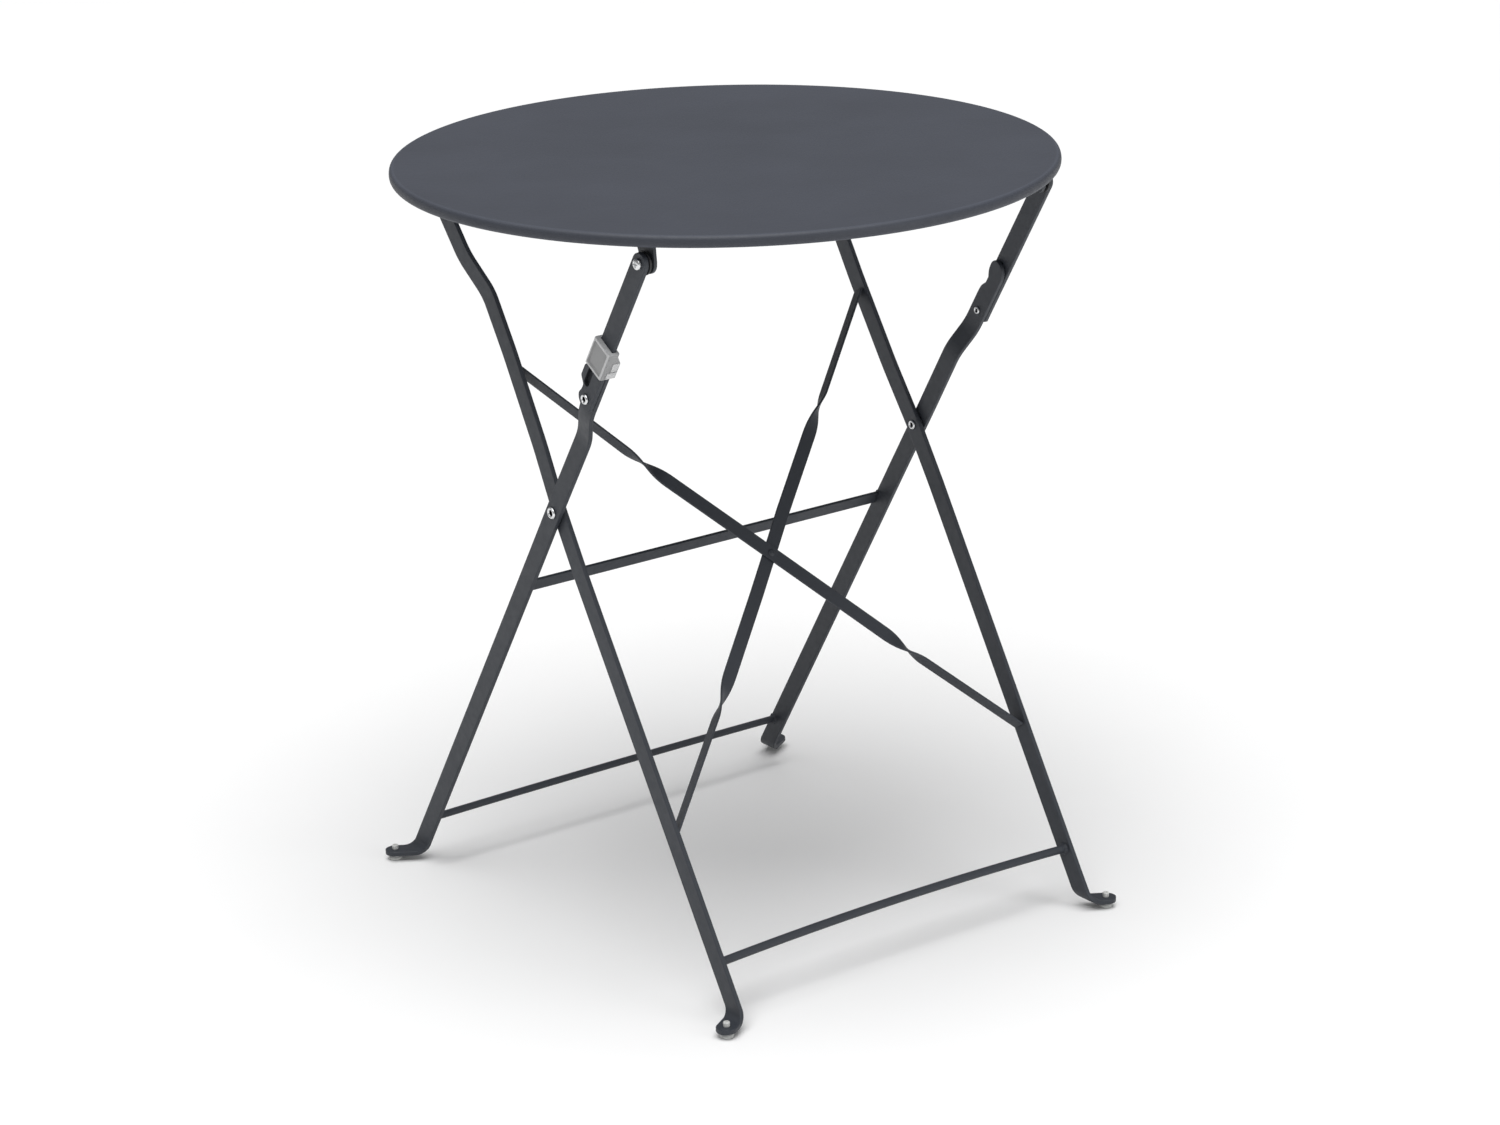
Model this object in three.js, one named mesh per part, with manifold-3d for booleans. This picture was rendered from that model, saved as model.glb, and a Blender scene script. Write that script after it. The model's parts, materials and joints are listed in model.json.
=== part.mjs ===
// Folding round bistro table: a pressed steel top on two crossed frames of flat bar.
// Millimetres, +Z up, floor at z = 0, X along the pivot axes, +Y towards the rear feet.

import * as THREE from 'three';
import { mergeVertices } from 'three/addons/utils/BufferGeometryUtils.js';
import Module from 'manifold-3d';

const wasm = await Module();
wasm.setup();

// ---- driving dimensions ----
const TOP_RADIUS = 300;
const TOP_HEIGHT = 702;
const SHEET = 1.5;
const RIM_DEPTH = 11;

const BAR_WIDTH = 19;
const BAR_THICK = 4.4;
const BAR_CHAMFER = 0.5;
const GAP = 0.3;

const CROSSING = { y: -15, z: 413 };
const INNER_TILT = THREE.MathUtils.degToRad(31.35);
const OUTER_TILT = THREE.MathUtils.degToRad(32.3);
const KNEE_ALONG = 148;
const REAR_PIVOT = { y: 150, z: 684 };
const FRONT_PIVOT = { y: -180, z: 674 };

const OUTER_X = 207.6;
const OUTER_FOOT_X = 209;
const HEAD_X = 216.2;
const LINK_X = 221;
const INNER_FOOT_X = 200.4;
const INNER_CROSS_X = 202;
const INNER_WAIST_X = 196.6;
const INNER_TOP_X = 213.2;

const FOOT_BEND = 10.2;
const FOOT_LEVEL = 8;
const INNER_GLIDE_X = 219;
const OUTER_GLIDE_X = 230.5;

const TAB_X = 212.5;
const LUG_X = 218.2;
const TAB_THICK = 3;
const RAIL_WIDTH = 15;

const BRACE_WIDTH = 13;
const BRACE_THICK = 2;
const BRACE_TOP = 137;
const BRACE_FOOT = -300;
const BRACE_TOP_X = 193.5;
const BRACE_FOOT_X = 197.9;
const BRACE_CROSSING = { x: -3.2, along: -84.3 };
// how far each brace dips below a straight line, as [distance from its top end, dip] corners
const LEFT_DIP = [[0, 4], [145, 11], [300, 8.5], [440, 7], [587, 0.5]];
const RIGHT_DIP = [[0, -0.5], [250, 0], [330, 3], [440, 4.5], [587, 3]];

const CLIP_START = 183.4;
const CLIP_LENGTH = 30;
const HEAD_TOP = 206;

// ---- finishes ----
const finish = (color, roughness, metalness) => new THREE.MeshStandardMaterial({ color, roughness, metalness });
const POWDER = finish(0x45494e, 0.62, 0.3);
const POWDER_TOP = finish(0x565963, 0.6, 0.3);
const ZINC = finish(0xc9ccd0, 0.3, 0.9);
const DARK_ZINC = finish(0x6b6e72, 0.4, 0.8);
const GREY_PLASTIC = finish(0xa9abac, 0.45, 0);
const WHITE_NYLON = finish(0xd9dad8, 0.5, 0);
const BLACK_NYLON = finish(0x1c1d1f, 0.6, 0);

const group = new THREE.Group();
group.name = 'bistro_table';

// ---- frames of reference ----
const v3 = (x, y, z) => new THREE.Vector3(x, y, z);

// A leg line lies in a plane of constant X through the crossing. `along` runs up the bar and
// `across` is square to it, towards +Y.
function legLine(tilt, lean) {
  return {
    lean,
    tilt,
    up: v3(0, lean * Math.sin(tilt), Math.cos(tilt)),
    across: v3(0, Math.cos(tilt), -lean * Math.sin(tilt)),
    at(x, along, across = 0) {
      return v3(x, CROSSING.y, CROSSING.z).addScaledVector(this.up, along).addScaledVector(this.across, across);
    },
  };
}
const INNER = legLine(INNER_TILT, 1);
const OUTER = legLine(OUTER_TILT, -1);
const FRONT_ALONG = OUTER.up.dot(v3(0, FRONT_PIVOT.y - CROSSING.y, FRONT_PIVOT.z - CROSSING.z));
const REAR_ALONG = INNER.up.dot(v3(0, REAR_PIVOT.y - CROSSING.y, REAR_PIVOT.z - CROSSING.z));

// ---- solids ----
function solidOf(geometry) {
  const g = geometry.clone();
  g.deleteAttribute('normal');
  g.deleteAttribute('uv');
  const welded = mergeVertices(g, 1e-4);
  return new wasm.Manifold(new wasm.Mesh({
    numProp: 3,
    vertProperties: new Float32Array(welded.attributes.position.array),
    triVerts: new Uint32Array(welded.index.array),
  }));
}

function geometryOf(solid) {
  const mesh = solid.asOriginal().simplify(0.01).getMesh();
  const g = new THREE.BufferGeometry();
  g.setAttribute('position', new THREE.BufferAttribute(new Float32Array(mesh.vertProperties), 3));
  g.setIndex(new THREE.BufferAttribute(new Uint32Array(mesh.triVerts), 1));
  const flat = g.toNonIndexed();
  flat.computeVertexNormals();
  return flat;
}

const cut = (body, ...tools) => tools.reduce((solid, tool) => solid.subtract(tool), body);
const join = (body, ...others) => others.reduce((solid, other) => solid.add(other), body);

function add(name, solid, material) {
  const mesh = new THREE.Mesh(geometryOf(solid), material);
  mesh.name = name;
  group.add(mesh);
}

// Skins a run of closed rings, each with the same number of points, into one closed solid.
function skin(rings) {
  const n = rings[0].length;
  const points = rings.flat();
  const index = [];
  for (let r = 0; r + 1 < rings.length; r++) {
    for (let i = 0; i < n; i++) {
      const a = r * n + i;
      const b = r * n + (i + 1) % n;
      index.push(a, b, b + n, a, b + n, a + n);
    }
  }
  const last = (rings.length - 1) * n;
  for (let i = 1; i + 1 < n; i++) {
    index.push(0, i + 1, i);
    index.push(last, last + i, last + i + 1);
  }
  const g = new THREE.BufferGeometry();
  g.setAttribute('position', new THREE.Float32BufferAttribute(points.flatMap((p) => [p.x, p.y, p.z]), 3));
  g.setIndex(index);
  const solid = solidOf(g);
  if (solid.volume() > 0) return solid;
  const flipped = g.clone();
  for (let i = 0; i < index.length; i += 3) [index[i + 1], index[i + 2]] = [index[i + 2], index[i + 1]];
  flipped.setIndex(index);
  return solidOf(flipped);
}

// One ring of a flat bar: `side` is the half width vector, `face` the half thickness vector, and
// plus/minus stretch the two edges. The long edges carry a small chamfer.
function barRing(centre, side, face, plus = 1, minus = 1) {
  const c = Math.min(BAR_CHAMFER / face.length(), 0.45);
  const w = BAR_CHAMFER / side.length();
  const ring = [
    [plus, -1 + c], [plus, 1 - c], [plus - w, 1], [-minus + w, 1],
    [-minus, 1 - c], [-minus, -1 + c], [-minus + w, -1], [plus - w, -1],
  ];
  return ring.map(([s, f]) => centre.clone().addScaledVector(side, s).addScaledVector(face, f));
}

// Round bar or pin: rings of circles along a list of centres.
function rod(centres, radius, normal, segments = 14) {
  return skin(centres.map((centre, i) => {
    const ahead = centres[Math.min(i + 1, centres.length - 1)].clone();
    const along = ahead.sub(centres[Math.max(i - 1, 0)]).normalize();
    const u = v3(0, 0, 0).crossVectors(normal, along).normalize();
    const w = v3(0, 0, 0).crossVectors(along, u);
    return Array.from({ length: segments }, (_, k) => {
      const a = (2 * Math.PI * k) / segments;
      return centre.clone().addScaledVector(u, radius * Math.cos(a)).addScaledVector(w, radius * Math.sin(a));
    });
  }));
}

// A turned piece: [radius, height] pairs from axis to axis, its axis along X at (y, z).
function turnedX(profile, x, y, z, direction = 1, segments = 18) {
  const g = new THREE.LatheGeometry(profile.map(([r, h]) => new THREE.Vector2(r, h)), segments);
  g.rotateZ(-direction * Math.PI / 2);
  g.translate(x, y, z);
  return solidOf(g);
}

function turnedZ(profile, x, y, segments = 18) {
  const g = new THREE.LatheGeometry(profile.map(([r, h]) => new THREE.Vector2(r, h)), segments);
  g.rotateX(Math.PI / 2);
  g.translate(x, y, 0);
  return solidOf(g);
}

const cylinderX = (radius, x0, x1, y, z) => turnedX(
  [[0, 0], [radius, 0], [radius, Math.abs(x1 - x0)], [0, Math.abs(x1 - x0)]], Math.min(x0, x1), y, z);

function box(x0, x1, y0, y1, z0, z1) {
  const g = new THREE.BoxGeometry(x1 - x0, y1 - y0, z1 - z0);
  g.translate((x0 + x1) / 2, (y0 + y1) / 2, (z0 + z1) / 2);
  return solidOf(g);
}

// ---- legs ----
// Sideways shape of a bar: [along, x] corners joined by straight runs, eased where the run turns.
function easedPath(corners, radius = 9, steps = 3) {
  const path = [corners[0]];
  for (let i = 1; i + 1 < corners.length; i++) {
    const p = new THREE.Vector2(...corners[i]);
    const before = new THREE.Vector2(...corners[i - 1]).sub(p);
    const after = new THREE.Vector2(...corners[i + 1]).sub(p);
    if (Math.abs(before.x * after.y - before.y * after.x) < 0.02 * before.length() * after.length()) {
      path.push(corners[i]);
      continue;
    }
    const reach = Math.min(radius, before.length() / 2.1, after.length() / 2.1);
    const a = p.clone().addScaledVector(before.normalize(), reach);
    const b = p.clone().addScaledVector(after.normalize(), reach);
    for (let k = 0; k <= steps; k++) {
      const t = k / steps;
      const q = a.clone().multiplyScalar((1 - t) ** 2).addScaledVector(p, 2 * t * (1 - t)).addScaledVector(b, t * t);
      path.push([q.x, q.y]);
    }
  }
  path.push(corners[corners.length - 1]);
  return path;
}

// A leg runs from its head down to a foot that is bent out flat, and stands on a glide.
// `side` is -1 or 1, `corners` go from head to foot, `trim` shapes the edges near the head.
function leg(line, side, corners, glideX, trim) {
  const path = easedPath(corners);
  const half = BAR_WIDTH / 2;
  const rings = [];
  path.forEach(([along, x], i) => {
    const a = path[Math.max(i - 1, 0)];
    const b = path[Math.min(i + 1, path.length - 1)];
    const run = line.up.clone().multiplyScalar(a[0] - b[0]).add(v3(side * (a[1] - b[1]), 0, 0)).normalize();
    const face = v3(0, 0, 0).crossVectors(run, line.across).multiplyScalar(-side * BAR_THICK / 2);
    const [plus, minus] = trim(along);
    rings.push(barRing(line.at(side * x, along), line.across.clone().multiplyScalar(half), face, plus, minus));
  });

  // the foot bends about a level line, so the bar's own lean carries on along the tab
  const footX = corners[corners.length - 1][1];
  const bendTop = FOOT_LEVEL + FOOT_BEND;
  const slope = Math.tan(line.tilt) * -line.lean;
  const startY = CROSSING.y + slope * (CROSSING.z - bendTop);
  const level = v3(0, half / Math.cos(line.tilt), 0);
  const steps = 6;
  for (let k = 0; k <= steps; k++) {
    const a = (k / steps) * Math.PI / 2;
    const x = footX + FOOT_BEND * (1 - Math.cos(a));
    const z = bendTop - FOOT_BEND * Math.sin(a);
    const face = v3(side * Math.cos(a), 0, Math.sin(a)).multiplyScalar(BAR_THICK / 2);
    rings.push(barRing(v3(side * x, startY + slope * FOOT_BEND * a, z), level, face));
  }
  const tab = v3(side * Math.cos(line.tilt), -line.lean * Math.sin(line.tilt), 0);
  const tabSide = v3(side * line.lean * Math.sin(line.tilt), Math.cos(line.tilt), 0).multiplyScalar(half);
  const bendY = startY + slope * FOOT_BEND * Math.PI / 2;
  const reach = (glideX - footX - FOOT_BEND) / Math.cos(line.tilt);
  const glide = v3(side * (footX + FOOT_BEND), bendY, FOOT_LEVEL).addScaledVector(tab, reach);
  const up = v3(0, 0, BAR_THICK / 2);
  for (let k = 0; k <= 6; k++) {
    const a = (k / 6) * 1.45;
    const width = Math.cos(a);
    const centre = glide.clone().addScaledVector(tab, half * Math.sin(a));
    rings.push(barRing(centre, tabSide, up, width, width));
  }
  const hole = turnedZ([[0, 0], [3, 0], [3, 30], [0, 30]], glide.x, glide.y);
  return { solid: cut(skin(rings), hole), glide };
}

// rounded end of a bar: edge factors that close a half circle of the bar's own width
function roundEnd(distance) {
  const half = BAR_WIDTH / 2;
  const d = THREE.MathUtils.clamp(distance / half, -0.985, 1);
  return d >= 0 ? 1 : Math.sqrt(1 - d * d);
}

const END_STEPS = [0.985, 0.93, 0.82, 0.66, 0.45, 0.2, 0];
const endRun = (centre, direction) => END_STEPS.map((f) => centre + direction * f * BAR_WIDTH / 2);

// ---- inner frame ----
function innerLeg(side) {
  const head = endRun(REAR_ALONG, 1).map((along) => [along, INNER_TOP_X]);
  const corners = [[REAR_ALONG - 16, INNER_TOP_X], [245, 208.2], [207, INNER_WAIST_X + 0.3],
    [150, INNER_WAIST_X], [62, 198.6], [0, INNER_CROSS_X], [-60, INNER_CROSS_X + 0.8], [-448, INNER_FOOT_X]];
  const trim = (along) => {
    const f = roundEnd(REAR_ALONG - along);
    return [f, f];
  };
  const made = leg(INNER, side, [head[0], ...head.slice(1), ...corners], INNER_GLIDE_X, trim);
  const bores = [
    cylinderX(3.2, side * 190, side * 215, CROSSING.y, CROSSING.z),
    cylinderX(3.2, side * 200, side * 225, REAR_PIVOT.y, REAR_PIVOT.z),
  ];
  return { solid: cut(made.solid, ...bores), glide: made.glide };
}

function glide({ x, y }) {
  return turnedZ([[0, 0], [4.4, 0], [5.9, 0.7], [6.3, 1.9], [5.9, 3.1], [5.2, 3.9], [4.9, 5.5], [2.7, 5.5],
    [2.7, 10.5], [3, 10.7], [3, 14], [2.5, 14.7], [0, 14.7]], x, y);
}

// ---- outer frame: the head above the knee is notched for the lock ----
function headTrim(along) {
  const notch = Math.exp(-(((along - 182) / 7.5) ** 2)) * 0.5;
  const top = along - (HEAD_TOP - 7);
  const corner = top > 0 ? 1 - Math.sqrt(Math.max(0, 1 - (top / 7) ** 2)) : 0;
  const longTop = along - (HEAD_TOP - 14);
  const longCorner = longTop > 0 ? 1 - Math.sqrt(Math.max(0, 1 - (longTop / 14) ** 2)) : 0;
  return [1 - notch - 0.65 * corner, 1 - 1.1 * longCorner];
}

function outerLeg(side) {
  const head = [];
  for (let along = HEAD_TOP; along > 160; along -= along > 198 ? 1.6 : 4) head.push([along, HEAD_X]);
  const corners = [...head, [128, HEAD_X], [98, OUTER_X - 0.8], [20, OUTER_X], [-60, OUTER_X],
    [-455, OUTER_FOOT_X]];
  const made = leg(OUTER, side, corners, OUTER_GLIDE_X, headTrim);
  const knee = OUTER.at(0, KNEE_ALONG);
  return {
    solid: cut(made.solid,
      cylinderX(3.2, side * 200, side * 222, CROSSING.y, CROSSING.z),
      cylinderX(3.2, side * 208, side * 226, knee.y, knee.z)),
    glide: made.glide,
  };
}

// ---- upper link ----
// `lobe` adds the stop that the lock rests on, with its oblong recess.
function link(side, lobe) {
  const low = KNEE_ALONG - BAR_WIDTH / 2;
  const stations = [...endRun(KNEE_ALONG, -1), ...endRun(FRONT_ALONG, 1).reverse()];
  if (lobe) stations.push(155, 158, 160, 162, 165, 168, 171, 174, 177, 180, 182, 183.6);
  stations.sort((a, b) => a - b);
  const bulge = (along) => {
    const rise = THREE.MathUtils.smoothstep(along, 156.5, 164);
    const fall = 1 - THREE.MathUtils.smoothstep(along, 174, 184);
    const boss = 1.8 * (1 - THREE.MathUtils.smoothstep(along, 145, 153)) * roundEnd(along - KNEE_ALONG);
    return lobe ? (6.7 * rise * fall + boss) / (BAR_WIDTH / 2) : 0;
  };
  const rings = stations.map((along) => {
    const f = Math.min(roundEnd(along - KNEE_ALONG), roundEnd(FRONT_ALONG - along));
    const square = along < KNEE_ALONG ? Math.min(1, 0.55 + (along - low) * 0.25) : 0;
    return barRing(OUTER.at(side * LINK_X, along), OUTER.across.clone().multiplyScalar(BAR_WIDTH / 2),
      v3(side * BAR_THICK / 2, 0, 0), f + bulge(along), Math.max(f, square));
  });
  const knee = OUTER.at(0, KNEE_ALONG);
  const tools = [
    cylinderX(3.2, side * 215, side * 228, knee.y, knee.z),
    cylinderX(3.2, side * 215, side * 228, FRONT_PIVOT.y, FRONT_PIVOT.z),
  ];
  if (lobe) {
    const slot = [-1, 1].map((end) => OUTER.at(0, 168.5 + end * 6, 6));
    const reach = [side * (LINK_X + BAR_THICK / 2 - 3.4), side * (LINK_X + 7)];
    tools.push(...slot.map((p) => cylinderX(3.7, ...reach, p.y, p.z)));
    const corner = (end, edge) => OUTER.at(0, 168.5 + end * 6, 6 + edge * 3.7);
    const outline = [corner(-1, -1), corner(1, -1), corner(1, 1), corner(-1, 1)];
    tools.push(skin(reach.map((x) => outline.map((p) => v3(x, p.y, p.z)))));
  }
  return cut(skin(rings), ...tools);
}

// ---- safety lock: a plastic sleeve on the left link ----
// It is a sleeve in the link's own directions, open at both ends. Its lower part is thicker and
// covers the outer leg's head too; there it is open towards +Y so that the head can swing out.
function lockBox(x0, x1, a0, a1, c0, c1) {
  const outline = [[a0, c0], [a1, c0], [a1, c1], [a0, c1]].map(([a, c]) => OUTER.at(0, a, c));
  return skin([x0, x1].map((x) => outline.map((p) => v3(x, p.y, p.z))));
}

function roundedLockBox(x0, x1, a0, a1, c0, c1, r) {
  const outline = [];
  const corners = [[x1 - r, c1 - r, 0], [x0 + r, c1 - r, 1], [x0 + r, c0 + r, 2], [x1 - r, c0 + r, 3]];
  corners.forEach(([x, c, quarter]) => {
    for (let k = 0; k <= 4; k++) {
      const a = (quarter + k / 4) * Math.PI / 2;
      outline.push([x + r * Math.cos(a), c + r * Math.sin(a)]);
    }
  });
  return skin([a0, a1].map((along) => outline.map(([x, c]) => OUTER.at(x, along, c))));
}

// the thicker part slopes back to the sleeve above the leg's head
function lockShoulder(x0, x1, a0, a1, a2, c0, c1) {
  const outline = [[x0, a0], [x1, a0], [x1, a1], [x0, a2]];
  return skin([c0, c1].map((c) => outline.map(([x, along]) => OUTER.at(x, along, c))));
}

function safetyLock() {
  const a0 = CLIP_START;
  const a1 = CLIP_START + CLIP_LENGTH;
  const half = BAR_WIDTH / 2 + 0.4;
  const side = 12.8;
  const outerFace = -(LINK_X + BAR_THICK / 2 + 5);
  const linkOuter = -(LINK_X + BAR_THICK / 2 + GAP);
  const linkInner = -(LINK_X - BAR_THICK / 2 - GAP);
  const headInner = -(HEAD_X - BAR_THICK / 2 - GAP);
  const sleeveInner = linkInner + 2;
  const innerFace = headInner + 1.6;
  const body = join(
    roundedLockBox(outerFace, sleeveInner, a0, a1, -side, side, 2.2),
    lockShoulder(linkInner, innerFace, a0, a0 + 17.5, a1 - 2, -side, 3));
  const latch = join(
    lockBox(linkOuter, innerFace - 1.6, a0 + 2, a0 + 9, -side - 1.5, -side + 1),
    lockBox(linkOuter + 3, innerFace - 1.6, a0 + 9, a0 + 19, -side - 0.9, -side + 1));
  return cut(join(body, latch),
    lockBox(linkOuter, linkInner, a0 - 5, a1 + 5, -half, half),
    lockBox(linkInner - 1, headInner, a0 - 5, HEAD_TOP + 0.8, -half, 20),
    lockBox(outerFace - 1, outerFace + 1.3, a0 + 3.2, a1 - 3.2, -9.4, 9.4));
}

// ---- stretchers ----
function rodStretcher(line, halfLength, radius, along, across, bow) {
  const steps = 12;
  const centres = [];
  for (let k = 0; k <= steps; k++) {
    const x = -halfLength + (2 * halfLength * k) / steps;
    centres.push(line.at(x, along + bow * (1 - (x / halfLength) ** 2), across));
  }
  return rod(centres, radius, line.across);
}

function flatStretcher() {
  const half = OUTER_X - BAR_THICK / 2 - GAP;
  const rings = [-half, half].map((x) => barRing(OUTER.at(x, -109.5, 7.6),
    OUTER.up.clone().multiplyScalar(7), OUTER.across.clone().multiplyScalar(1.5)));
  return skin(rings);
}

// ---- braces: flat strips with a quarter turn near each end ----
function dipAt(corners, distance) {
  const last = corners.length - 2;
  const i = Math.min(last, corners.findIndex(([, ], k) => k === last || distance < corners[k + 1][0]));
  const [d0, dip0] = corners[i];
  const [d1, dip1] = corners[i + 1];
  return THREE.MathUtils.mapLinear(distance, d0, d1, dip0, dip1);
}

function brace(side) {
  const top = v3(side * BRACE_TOP_X, BRACE_TOP, 0);
  const foot = v3(-side * BRACE_FOOT_X, BRACE_FOOT, 0);
  const run = foot.clone().sub(top);
  const length = run.length();
  run.normalize();
  const twistAt = 142;
  const twistHalf = 25;
  const dips = side < 0 ? LEFT_DIP : RIGHT_DIP;
  const stations = [0];
  for (let k = 0; k <= 10; k++) stations.push(twistAt - twistHalf + (2 * twistHalf * k) / 10);
  stations.push(250, 293);
  stations.push(...stations.slice(1).map((d) => length - d).reverse());
  stations.push(length);
  const rise = INNER.up;
  const normal = INNER.across;
  const cross = v3(1, 0, 0).multiplyScalar(-run.y).addScaledVector(rise, run.x);
  const rings = stations.map((d) => {
    const near = Math.min(d, length - d);
    const flat = THREE.MathUtils.smoothstep(near, twistAt - twistHalf, twistAt + twistHalf);
    const turn = (1 - flat) * Math.PI / 2;
    const width = cross.clone().multiplyScalar(Math.cos(turn)).addScaledVector(normal, Math.sin(turn));
    const face = normal.clone().multiplyScalar(Math.cos(turn)).addScaledVector(cross, -Math.sin(turn));
    const p = top.clone().addScaledVector(run, d);
    const centre = INNER.at(p.x, p.y - dipAt(dips, d), side * flat * (BRACE_THICK / 2 + GAP / 2));
    return barRing(centre, width.multiplyScalar(BRACE_WIDTH / 2), face.multiplyScalar(BRACE_THICK / 2));
  });
  return skin(rings);
}

// where the two braces cross, on the centre line

function braceRivet() {
  const reach = BRACE_THICK + GAP / 2;
  const profile = [[0, -reach - 1.3], [2.2, -reach - 1.1], [3.4, -reach - GAP], [2, -reach - GAP],
    [2, reach + GAP], [3.4, reach + GAP], [2.2, reach + 1.1], [0, reach + 1.3]];
  const g = new THREE.LatheGeometry(profile.map(([r, h]) => new THREE.Vector2(r, h)), 20);
  const centre = INNER.at(BRACE_CROSSING.x, BRACE_CROSSING.along);
  g.applyQuaternion(new THREE.Quaternion().setFromUnitVectors(v3(0, 1, 0), INNER.across));
  g.translate(centre.x, centre.y, centre.z);
  return solidOf(g);
}

function braceBore() {
  const centre = INNER.at(BRACE_CROSSING.x, BRACE_CROSSING.along, -12);
  return rod([centre, INNER.at(BRACE_CROSSING.x, BRACE_CROSSING.along, 12)], 2.3, v3(1, 0, 0));
}

// ---- rivets and bolts ----
// Tubular rivet along X from x0 (inner end) to x1 (outer end), rolled over and hollow at both ends.
function hollowRivet(side, x0, x1, radius, shank, y, z, innerRadius = radius * 0.8) {
  const length = x1 - x0;
  const profile = [[0, 1.4], [innerRadius * 0.42, 1.4], [innerRadius * 0.5, -0.7], [innerRadius * 0.66, -1.5],
    [innerRadius * 0.86, -1.4], [innerRadius, -0.7], [innerRadius, 0], [shank, 0], [shank, length], [radius, length],
    [radius, length + 0.9], [radius * 0.86, length + 1.9], [radius * 0.66, length + 2.1],
    [radius * 0.5, length + 1.2], [radius * 0.42, 3.4], [0, 3.4]];
  return turnedX(profile, side * x0, y, z, side);
}

// Pan head bolt with a cross recess, along X.
function panBolt(side, x0, x1, y, z) {
  const length = x1 - x0;
  const profile = [[0, 0], [2.6, 0], [2.6, length], [5, length], [5, length + 1.6], [4.2, length + 2.6],
    [2.6, length + 3.1], [0, length + 3.2]];
  const head = side * (x1 + 1.8);
  const outside = side * (x1 + 6);
  const span = [Math.min(head, outside), Math.max(head, outside)];
  return cut(turnedX(profile, side * x0, y, z, side),
    box(...span, y - 3.1, y + 3.1, z - 0.75, z + 0.75),
    box(...span, y - 0.75, y + 0.75, z - 3.1, z + 3.1));
}

function ringX(side, x0, x1, radius, bore, y, z) {
  return cut(cylinderX(radius, side * x0, side * x1, y, z),
    cylinderX(bore, side * (x0 - 1), side * (x1 + 1), y, z));
}

function hexNut(side, x0, x1, y, z) {
  const across = 4.4;
  const outline = Array.from({ length: 6 }, (_, k) => {
    const a = (k * Math.PI) / 3;
    return [across * Math.cos(a), across * Math.sin(a)];
  });
  const hex = skin([side * x0, side * x1].map((x) => outline.map(([dy, dz]) => v3(x, y + dy, z + dz))));
  return cut(hex, cylinderX(2.9, side * (x0 - 1), side * (x1 + 1), y, z));
}

// ---- top ----
function tableTop() {
  const h = TOP_HEIGHT;
  const r = TOP_RADIUS;
  const profile = [[0, h], [r - 5, h], [r - 3.2, h - 0.25], [r - 1.8, h - 0.95], [r - 0.8, h - 2.1], [r - 0.25, h - 3.6],
    [r, h - 5.6], [r - 0.1, h - 7.4], [r - 0.8, h - 9.2], [r - 2.1, h - 10.5], [r - 3.9, h - RIM_DEPTH],
    [r - 5.7, h - 10.5], [r - 6.9, h - 9.2], [r - 7.3, h - 7.4], [r - 7.3, h - 5], [r - 7.9, h - 3],
    [r - 9.5, h - 1.9], [r - 12, h - SHEET], [0, h - SHEET]].reverse();
  return turnedZ(profile, 0, 0, 84);
}

// A rail lies flat under the top and carries the tab for the link and the lug for the inner leg.
function plateX(side, x, outline) {
  const x0 = side * (x - TAB_THICK / 2);
  const x1 = side * (x + TAB_THICK / 2);
  return skin([x0, x1].map((px) => outline.map(([y, z]) => v3(px, y, z))));
}

function hangingOutline(pivot, radius, baseFront, baseRear, top) {
  const outline = [[baseRear, top], [baseFront, top]];
  const start = Math.atan2(top - 8 - pivot.z, baseFront - pivot.y);
  const end = Math.atan2(top - 8 - pivot.z, baseRear - pivot.y);
  const from = start < 0 ? start + 2 * Math.PI : start;
  const a0 = Math.max(from, Math.PI * 0.97);
  const a1 = 2 * Math.PI + Math.min(end, Math.PI * 0.03);
  for (let k = 0; k <= 10; k++) {
    const a = a0 + ((a1 - a0) * k) / 10;
    outline.push([pivot.y + radius * Math.cos(a), pivot.z + radius * Math.sin(a)]);
  }
  return outline;
}

function rail(side) {
  const top = TOP_HEIGHT - SHEET - GAP;
  const under = top - TAB_THICK;
  const a = side * (TAB_X - 7.5);
  const b = side * (TAB_X - 7.5 + RAIL_WIDTH);
  const flat = box(Math.min(a, b), Math.max(a, b), FRONT_PIVOT.y - 9, REAR_PIVOT.y + 18, under, top).intersect(
    turnedZ([[0, under - 1], [TOP_RADIUS - 17, under - 1], [TOP_RADIUS - 17, top + 1], [0, top + 1]], 0, 0, 60));
  const tab = plateX(side, TAB_X, hangingOutline(FRONT_PIVOT, 10, FRONT_PIVOT.y - 8, FRONT_PIVOT.y + 20, under + 1));
  const lug = plateX(side, LUG_X, hangingOutline(REAR_PIVOT, 10, REAR_PIVOT.y - 17, REAR_PIVOT.y + 17, under + 1));
  return cut(join(flat, tab, lug),
    cylinderX(2.9, side * 205, side * 220, FRONT_PIVOT.y, FRONT_PIVOT.z),
    cylinderX(3.2, side * 214, side * 224, REAR_PIVOT.y, REAR_PIVOT.z));
}

// ---- assembly ----
const KNEE = OUTER.at(0, KNEE_ALONG);
const BAR_HALF = BAR_THICK / 2;

add('table_top', tableTop(), POWDER_TOP);

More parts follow.
